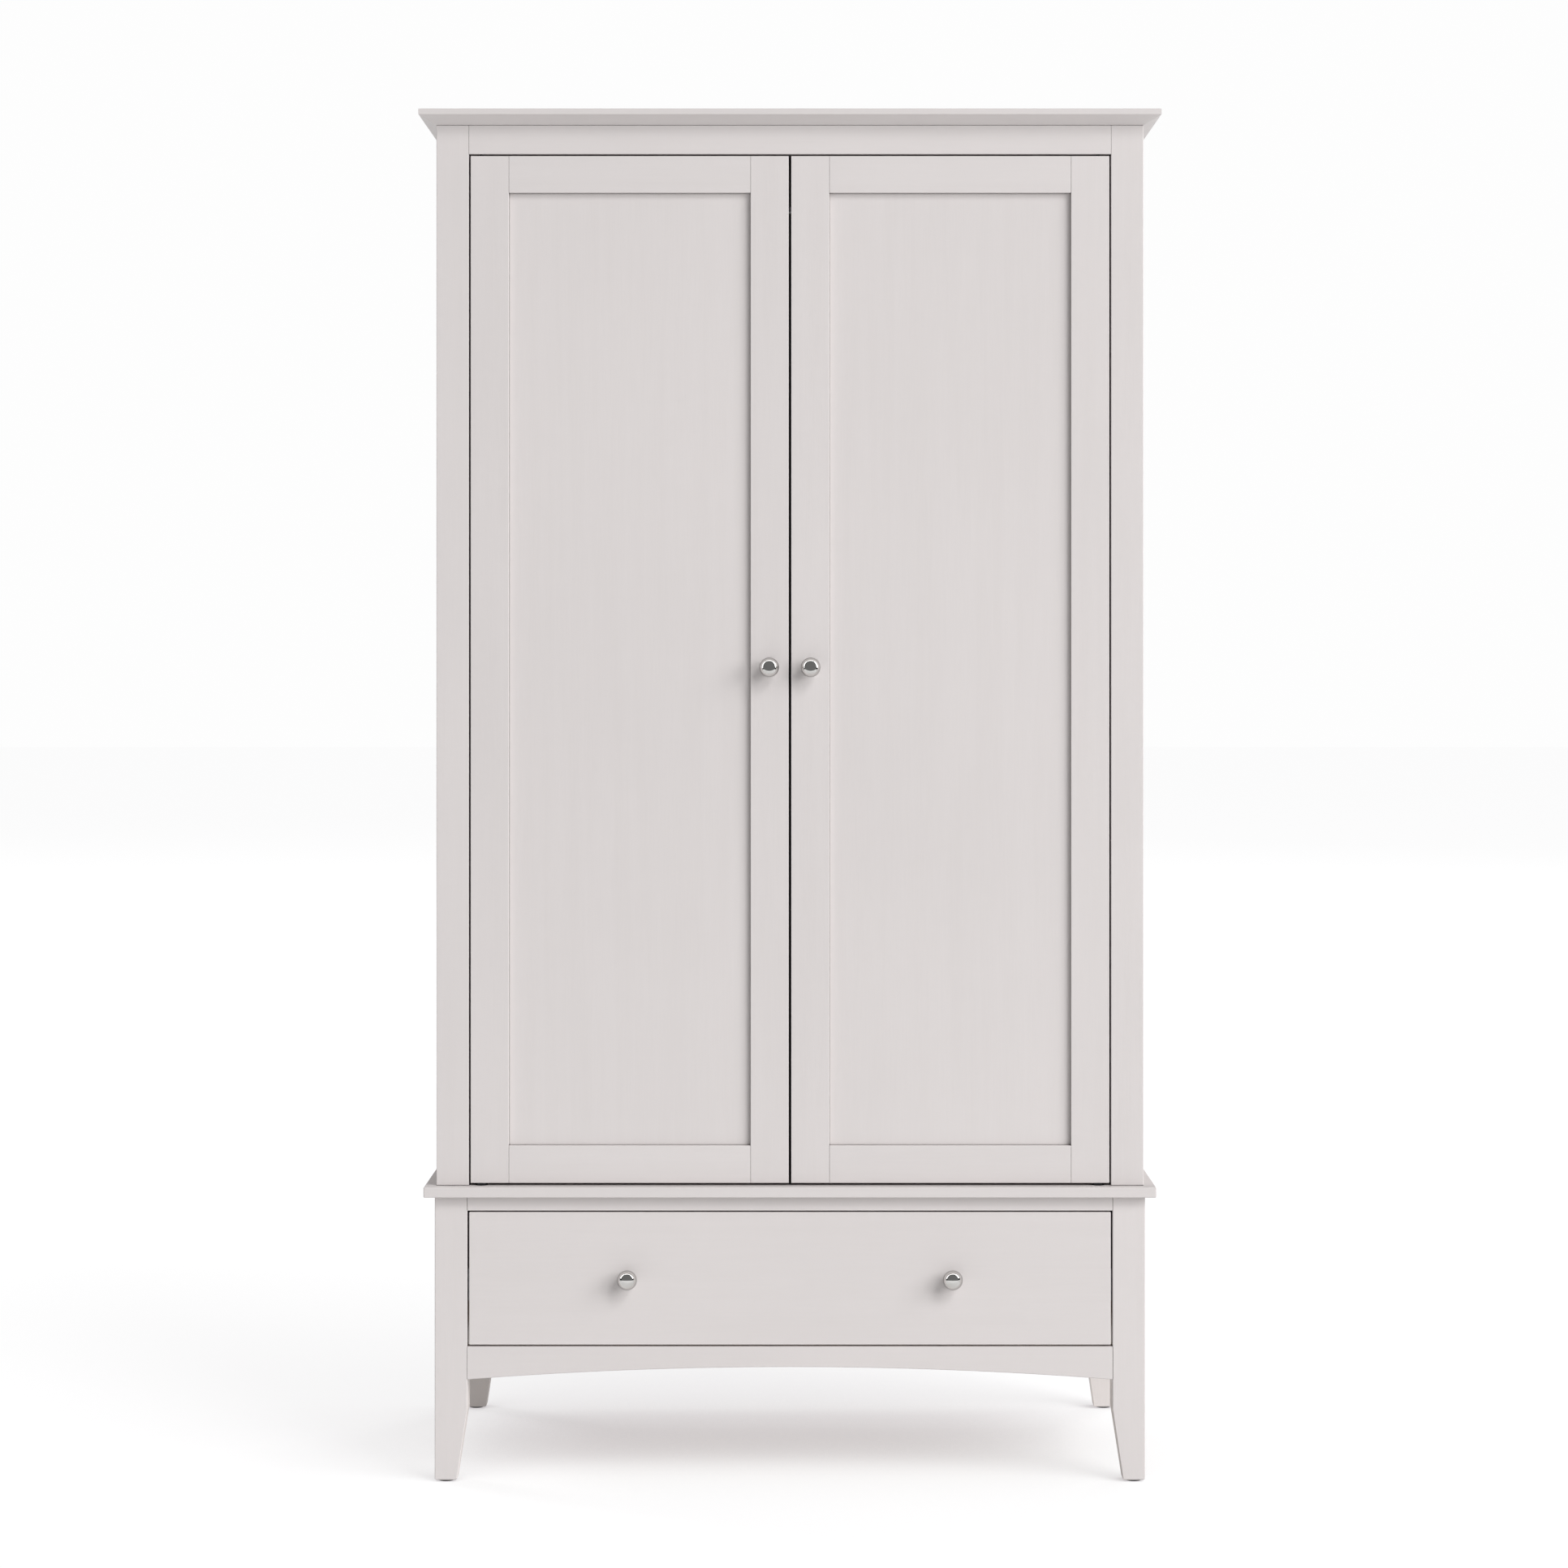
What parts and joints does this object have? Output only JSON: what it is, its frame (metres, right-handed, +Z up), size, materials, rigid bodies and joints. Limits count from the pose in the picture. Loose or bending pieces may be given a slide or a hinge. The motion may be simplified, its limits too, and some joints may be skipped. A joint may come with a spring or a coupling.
{
  "type": "wardrobe with doors",
  "caption": "Painted wooden wardrobe with a pair of recessed-panel doors, a hanging rail inside, and a full-width drawer over tapered legs.",
  "frame": {"origin": "on the floor, at the centre of the footprint of the whole object, knobs and cornice included", "axes": "+Z up, doors face -Y, +X to the right of a person facing the doors"},
  "size_m": [1.026, 0.578, 1.9],
  "materials": {
    "painted_wood": "satin paint, pale warm grey",
    "bare_wood": "clear lacquered softwood and plywood",
    "polished_nickel": "polished",
    "rail_chrome": "polished tube",
    "zinc_steel": "zinc plated",
    "runner_steel": "zinc plated, satin",
    "nylon": "moulded, black",
    "black_steel": "black oxide",
    "catch_plastic": "moulded",
    "glide_plastic": "moulded"
  },
  "bodies": {
    "cabinet": {"cornice_board": "painted_wood", "upper_post_front_left": "painted_wood", "upper_post_front_right": "painted_wood", "upper_post_rear_left": "painted_wood", "upper_post_rear_right": "painted_wood", "frieze_rail": "painted_wood", "rear_top_rail": "painted_wood", "upper_side_top_rails": "painted_wood", "upper_side_bottom_rails": "painted_wood", "upper_side_panel_left": "painted_wood", "upper_side_panel_right": "painted_wood", "upper_back_panel": "painted_wood", "waist_board": "painted_wood", "leg_front_left": "painted_wood", "leg_front_right": "painted_wood", "leg_rear_left": "painted_wood", "leg_rear_right": "painted_wood", "drawer_top_rail": "painted_wood", "arched_bottom_rail": "painted_wood", "rear_bottom_rail": "painted_wood", "lower_side_panel_left": "painted_wood", "lower_side_panel_right": "painted_wood", "lower_back_panel": "painted_wood", "foot_glides": "glide_plastic", "runner_battens": "bare_wood", "hanging_rail": "rail_chrome", "hanging_rail_sockets": "zinc_steel", "magnetic_catches": "catch_plastic", "door_pivot_pins": "black_steel", "frame_dowels": "bare_wood", "runner_outer_members": "runner_steel"},
    "left_door": {"left_door_hinge_stile": "painted_wood", "left_door_meeting_stile": "painted_wood", "left_door_top_rail": "painted_wood", "left_door_bottom_rail": "painted_wood", "left_door_panel": "painted_wood", "left_door_pivot_bushes": "nylon", "left_door_strike_plate": "zinc_steel", "left_door_knob_screw": "zinc_steel", "left_door_knob": "polished_nickel"},
    "right_door": {"right_door_hinge_stile": "painted_wood", "right_door_meeting_stile": "painted_wood", "right_door_top_rail": "painted_wood", "right_door_bottom_rail": "painted_wood", "right_door_panel": "painted_wood", "right_door_pivot_bushes": "nylon", "right_door_strike_plate": "zinc_steel", "right_door_knob_screw": "zinc_steel", "right_door_knob": "polished_nickel"},
    "drawer": {"drawer_front": "painted_wood", "drawer_box_front": "bare_wood", "drawer_back": "bare_wood", "drawer_bottom": "bare_wood", "drawer_side_left": "bare_wood", "drawer_side_right": "bare_wood", "drawer_screws": "zinc_steel", "drawer_knob_left": "polished_nickel", "drawer_knob_right": "polished_nickel", "runner_inner_members": "runner_steel"},
    "runner_middle": {"runner_middle_members": "runner_steel"}
  },
  "joints": [
    {"name": "left_door_hinge", "type": "hinge", "parent": "cabinet", "child": "left_door", "pos_m": [-0.4277, -0.247, 1.125], "axis": [0, 0, -1], "range_deg": [0, 105]},
    {"name": "right_door_hinge", "type": "hinge", "parent": "cabinet", "child": "right_door", "pos_m": [0.4277, -0.247, 1.125], "axis": [0, 0, 1], "range_deg": [0, 105]},
    {"name": "drawer_slide", "type": "slide", "parent": "cabinet", "child": "drawer", "axis": [0, -1, 0], "range_m": [0, 0.42]},
    {"name": "runner_middle_slide", "type": "slide", "parent": "cabinet", "child": "runner_middle", "axis": [0, -1, 0], "range_m": [0, 0.21]}
  ],
  "couplings": [
    {"joint": "runner_middle_slide", "follows": "drawer_slide", "ratio": 0.5}
  ]
}
